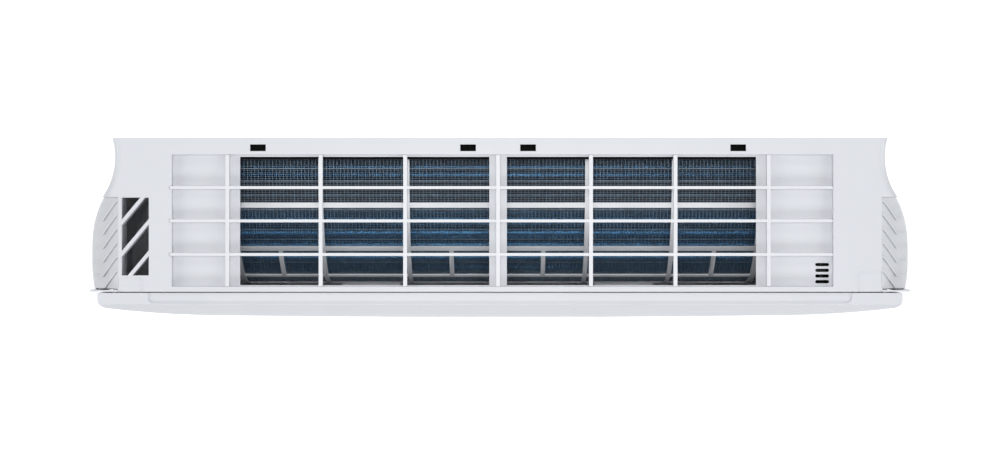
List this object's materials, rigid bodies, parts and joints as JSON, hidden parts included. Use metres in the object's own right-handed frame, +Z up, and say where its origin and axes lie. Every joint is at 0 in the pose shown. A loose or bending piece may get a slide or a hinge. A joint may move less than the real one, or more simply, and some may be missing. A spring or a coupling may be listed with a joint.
{
  "type": "wall-mounted air conditioner",
  "caption": "Indoor unit of a wall-mounted split air conditioner with hinged front panel, sliding filters, vane, louvres and cross-flow fan.",
  "frame": {"origin": "on the wall, at the middle of the unit's width and height", "axes": "+X to the right of someone facing the unit, +Y into the wall, +Z up"},
  "size_m": [0.863, 0.188, 0.298],
  "materials": {
    "white_plastic": "satin moulded",
    "grey_plastic": "fine texture",
    "black_plastic": "fine texture",
    "filter_net": "woven nylon",
    "zinc_steel": "galvanised",
    "fins": "coated fins",
    "copper": "drawn tube",
    "brass": "turned",
    "rubber": "matt",
    "foam": "closed cell foam",
    "board": "solder mask",
    "window": "tinted"
  },
  "bodies": {
    "unit": {"mounting_plate": "zinc_steel", "chassis": "grey_plastic", "casing": "white_plastic", "intake_grille": "white_plastic", "side_panel_left": "white_plastic", "side_panel_right": "white_plastic", "evaporator_front": "fins", "evaporator_rear": "fins", "evaporator_seal": "foam", "tube_sheet_left": "zinc_steel", "tube_sheet_right": "zinc_steel", "tube_bends_left": "copper", "tube_bends_right": "copper", "gas_pipe": "copper", "liquid_pipe": "copper", "pipe_unions": "brass", "drain_pan": "grey_plastic", "drain_cap": "rubber", "vane_motor": "zinc_steel", "fan_motor": "grey_plastic", "motor_clamp": "zinc_steel", "bearing_holder": "grey_plastic", "fan_bearing": "rubber", "control_box": "grey_plastic", "control_box_cover": "grey_plastic", "control_board": "board", "terminal_block": "black_plastic", "display_board": "board", "room_thermistor": "black_plastic", "pipe_thermistor": "copper", "casing_screws": "zinc_steel", "screw_caps": "white_plastic"},
    "panel": {"front_panel": "white_plastic", "display_window": "window"},
    "vane": {"vane": "white_plastic"},
    "fan": {"fan_wheel": "black_plastic", "fan_stub_shaft": "zinc_steel", "motor_shaft": "zinc_steel"},
    "button": {"auto_button": "white_plastic"},
    "filter_left": {"filter_left_frame": "grey_plastic", "filter_left_mesh": "filter_net"},
    "louvre_link_left": {"louvre_link_left": "black_plastic"},
    "louvre_left_1": {"louvre_left_1": "black_plastic"},
    "louvre_left_2": {"louvre_left_2": "black_plastic"},
    "louvre_left_3": {"louvre_left_3": "black_plastic"},
    "louvre_left_4": {"louvre_left_4": "black_plastic"},
    "louvre_left_5": {"louvre_left_5": "black_plastic"},
    "filter_right": {"filter_right_frame": "grey_plastic", "filter_right_mesh": "filter_net"},
    "louvre_link_right": {"louvre_link_right": "black_plastic"},
    "louvre_right_1": {"louvre_right_1": "black_plastic"},
    "louvre_right_2": {"louvre_right_2": "black_plastic"},
    "louvre_right_3": {"louvre_right_3": "black_plastic"},
    "louvre_right_4": {"louvre_right_4": "black_plastic"},
    "louvre_right_5": {"louvre_right_5": "black_plastic"}
  },
  "joints": [
    {"name": "panel_hinge", "type": "hinge", "parent": "unit", "child": "panel", "pos_m": [0.4, -0.165, 0.1404], "axis": [-1, 0, 0], "range_deg": [0, 52]},
    {"name": "vane_tilt", "type": "hinge", "parent": "unit", "child": "vane", "pos_m": [0.33, -0.112, -0.132], "axis": [1, 0, 0], "range_deg": [0, 78]},
    {"name": "fan_spin", "type": "hinge", "parent": "unit", "child": "fan", "pos_m": [0.28, -0.066, -0.048], "axis": [1, 0, 0], "continuous": true},
    {"name": "auto_button_press", "type": "slide", "parent": "unit", "child": "button", "axis": [0, 1, 0], "range_m": [0, 0.0015], "stiffness_N_per_m": 400, "springref_m": -0.001},
    {"name": "filter_left_slide", "type": "hinge", "parent": "unit", "child": "filter_left", "pos_m": [0, -0.03, 0], "axis": [1, 0, 0], "range_deg": [0, 20]},
    {"name": "louvre_left_swing", "type": "slide", "parent": "unit", "child": "louvre_link_left", "axis": [1, 0, 0], "range_m": [-0.0078, 0.0078]},
    {"name": "louvre_left_1_hinge", "type": "hinge", "parent": "unit", "child": "louvre_left_1", "pos_m": [-0.2605, -0.13228, -0.07971], "axis": [0, 0.7467, -0.6652], "range_deg": [-30.5, 30.5]},
    {"name": "louvre_left_2_hinge", "type": "hinge", "parent": "unit", "child": "louvre_left_2", "pos_m": [-0.2045, -0.13228, -0.07971], "axis": [0, 0.7467, -0.6652], "range_deg": [-30.5, 30.5]},
    {"name": "louvre_left_3_hinge", "type": "hinge", "parent": "unit", "child": "louvre_left_3", "pos_m": [-0.1485, -0.13228, -0.07971], "axis": [0, 0.7467, -0.6652], "range_deg": [-30.5, 30.5]},
    {"name": "louvre_left_4_hinge", "type": "hinge", "parent": "unit", "child": "louvre_left_4", "pos_m": [-0.0925, -0.13228, -0.07971], "axis": [0, 0.7467, -0.6652], "range_deg": [-30.5, 30.5]},
    {"name": "louvre_left_5_hinge", "type": "hinge", "parent": "unit", "child": "louvre_left_5", "pos_m": [-0.0365, -0.13228, -0.07971], "axis": [0, 0.7467, -0.6652], "range_deg": [-30.5, 30.5]},
    {"name": "filter_right_slide", "type": "hinge", "parent": "unit", "child": "filter_right", "pos_m": [0, -0.03, 0], "axis": [1, 0, 0], "range_deg": [0, 20]},
    {"name": "louvre_right_swing", "type": "slide", "parent": "unit", "child": "louvre_link_right", "axis": [1, 0, 0], "range_m": [-0.0078, 0.0078]},
    {"name": "louvre_right_1_hinge", "type": "hinge", "parent": "unit", "child": "louvre_right_1", "pos_m": [0.0195, -0.13228, -0.07971], "axis": [0, 0.7467, -0.6652], "range_deg": [-30.5, 30.5]},
    {"name": "louvre_right_2_hinge", "type": "hinge", "parent": "unit", "child": "louvre_right_2", "pos_m": [0.0755, -0.13228, -0.07971], "axis": [0, 0.7467, -0.6652], "range_deg": [-30.5, 30.5]},
    {"name": "louvre_right_3_hinge", "type": "hinge", "parent": "unit", "child": "louvre_right_3", "pos_m": [0.1315, -0.13228, -0.07971], "axis": [0, 0.7467, -0.6652], "range_deg": [-30.5, 30.5]},
    {"name": "louvre_right_4_hinge", "type": "hinge", "parent": "unit", "child": "louvre_right_4", "pos_m": [0.1875, -0.13228, -0.07971], "axis": [0, 0.7467, -0.6652], "range_deg": [-30.5, 30.5]},
    {"name": "louvre_right_5_hinge", "type": "hinge", "parent": "unit", "child": "louvre_right_5", "pos_m": [0.2435, -0.13228, -0.07971], "axis": [0, 0.7467, -0.6652], "range_deg": [-30.5, 30.5]}
  ],
  "couplings": [
    {"joint": "louvre_left_1_hinge", "follows": "louvre_left_swing", "rad_per_m": 66.667},
    {"joint": "louvre_left_2_hinge", "follows": "louvre_left_swing", "rad_per_m": 66.667},
    {"joint": "louvre_left_3_hinge", "follows": "louvre_left_swing", "rad_per_m": 66.667},
    {"joint": "louvre_left_4_hinge", "follows": "louvre_left_swing", "rad_per_m": 66.667},
    {"joint": "louvre_left_5_hinge", "follows": "louvre_left_swing", "rad_per_m": 66.667},
    {"joint": "louvre_right_1_hinge", "follows": "louvre_right_swing", "rad_per_m": 66.667},
    {"joint": "louvre_right_2_hinge", "follows": "louvre_right_swing", "rad_per_m": 66.667},
    {"joint": "louvre_right_3_hinge", "follows": "louvre_right_swing", "rad_per_m": 66.667},
    {"joint": "louvre_right_4_hinge", "follows": "louvre_right_swing", "rad_per_m": 66.667},
    {"joint": "louvre_right_5_hinge", "follows": "louvre_right_swing", "rad_per_m": 66.667}
  ]
}
